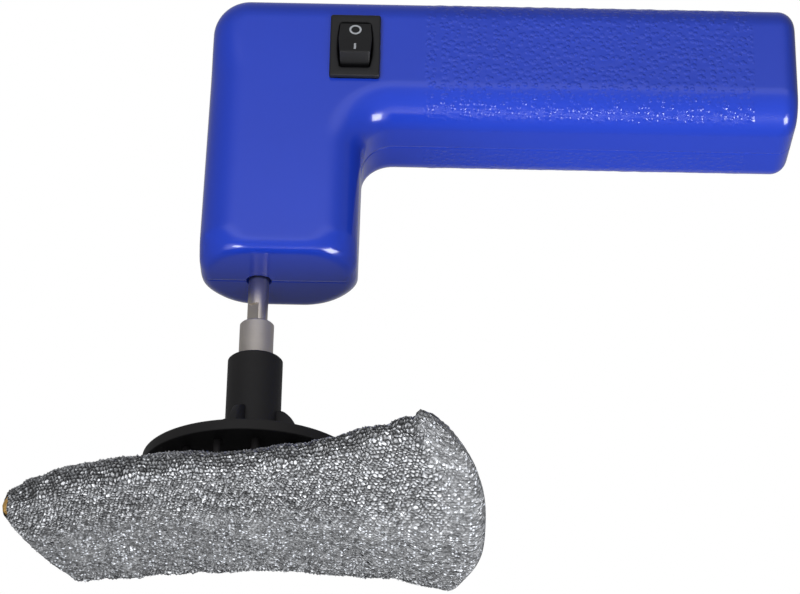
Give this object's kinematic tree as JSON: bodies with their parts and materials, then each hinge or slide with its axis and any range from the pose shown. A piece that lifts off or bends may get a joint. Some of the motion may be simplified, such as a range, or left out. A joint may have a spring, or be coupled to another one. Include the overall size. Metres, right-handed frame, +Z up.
{
  "type": "cordless rotary scrubber",
  "caption": "Hand-held cordless scrubber: an L-shaped casing with a rocker switch and a geared motor that turns a soft metallic-knit scouring pad on a pegged disc.",
  "frame": {"origin": "on the spindle axis at the pad's flat working face", "axes": "+Z up the spindle, +X along the handle away from the head, -Y the side with the switch"},
  "size_m": [0.226, 0.0882, 0.168],
  "materials": {
    "casing_blue": "glossy moulded plastic with a pebbled grip",
    "switch_black": "fine satin nylon",
    "rocker_black": "satin nylon with pale marks",
    "zinc_steel": "zinc plated",
    "ground_steel": "ground steel",
    "turned_steel": "turned steel",
    "sintered_steel": "sintered steel",
    "lamination_steel": "stacked laminations",
    "brass_strip": "rolled brass",
    "bronze": "oil-filled bronze",
    "copper": "copper",
    "ferrite": "ferrite magnet",
    "carbon": "carbon",
    "cap_nylon": "black nylon",
    "nickel_strip": "nickel strip",
    "cell_wrap": "cell in plastic wrap",
    "board_green": "solder mask",
    "chip_black": "moulded package",
    "lead_black": "insulated wire",
    "lead_red": "insulated wire",
    "hub_black": "moulded nylon",
    "metallic_knit": "looped metallic yarn",
    "pad_foam": "soft foam"
  },
  "bodies": {
    "casing": {"front_shell": "casing_blue", "rear_shell": "casing_blue", "shell_screws": "zinc_steel", "switch_housing": "switch_black", "switch_terminals": "brass_strip", "gearbox_face_plate": "zinc_steel", "gearbox_housing": "zinc_steel", "gearbox_rear_plate": "zinc_steel", "gearbox_screws": "zinc_steel", "gear_pins": "ground_steel", "output_bush": "bronze", "motor_can": "zinc_steel", "motor_screws": "zinc_steel", "motor_magnets": "ferrite", "motor_bushes": "bronze", "motor_end_cap": "cap_nylon", "motor_brushes": "carbon", "motor_terminals": "brass_strip", "cell_1": "cell_wrap", "cell_2": "cell_wrap", "cell_straps": "nickel_strip", "charge_board": "board_green", "board_chips": "chip_black", "charge_jack": "cap_nylon", "jack_pin": "nickel_strip", "lead_switch_motor": "lead_black", "lead_cell_switch": "lead_red", "lead_cell_motor": "lead_black", "lead_board": "lead_red"},
    "rocker": {"rocker_button": "rocker_black"},
    "rotor": {"rotor_shaft": "ground_steel", "armature_core": "lamination_steel", "armature_windings": "copper", "commutator": "copper", "motor_pinion": "brass_strip"},
    "gear_one": {"first_gear": "sintered_steel"},
    "gear_two": {"second_gear": "sintered_steel"},
    "spindle": {"output_gear": "sintered_steel", "output_shaft": "ground_steel", "shaft_sleeve": "turned_steel", "hub_disc": "hub_black", "pad_cover": "metallic_knit", "pad_core": "pad_foam"}
  },
  "joints": [
    {"name": "spindle_spin", "type": "hinge", "parent": "casing", "child": "spindle", "pos_m": [0, 0, 0.1], "axis": [0, 0, 1], "continuous": true},
    {"name": "second_gear_spin", "type": "hinge", "parent": "casing", "child": "gear_two", "pos_m": [0.0045, 0.00779, 0.1], "axis": [0, 0, 1], "continuous": true},
    {"name": "first_gear_spin", "type": "hinge", "parent": "casing", "child": "gear_one", "pos_m": [0.01318, 0.00542, 0.1], "axis": [0, 0, 1], "continuous": true},
    {"name": "rotor_spin", "type": "hinge", "parent": "casing", "child": "rotor", "pos_m": [0.006, 0, 0.1], "axis": [0, 0, 1], "continuous": true},
    {"name": "rocker_tilt", "type": "hinge", "parent": "casing", "child": "rocker", "pos_m": [0.0268, -0.019, 0.1487], "axis": [1, 0, 0], "range_deg": [0, 28]}
  ],
  "couplings": [
    {"joint": "second_gear_spin", "follows": "spindle_spin", "ratio": -2.6},
    {"joint": "first_gear_spin", "follows": "spindle_spin", "ratio": 6.76},
    {"joint": "rotor_spin", "follows": "spindle_spin", "ratio": -17.576}
  ]
}
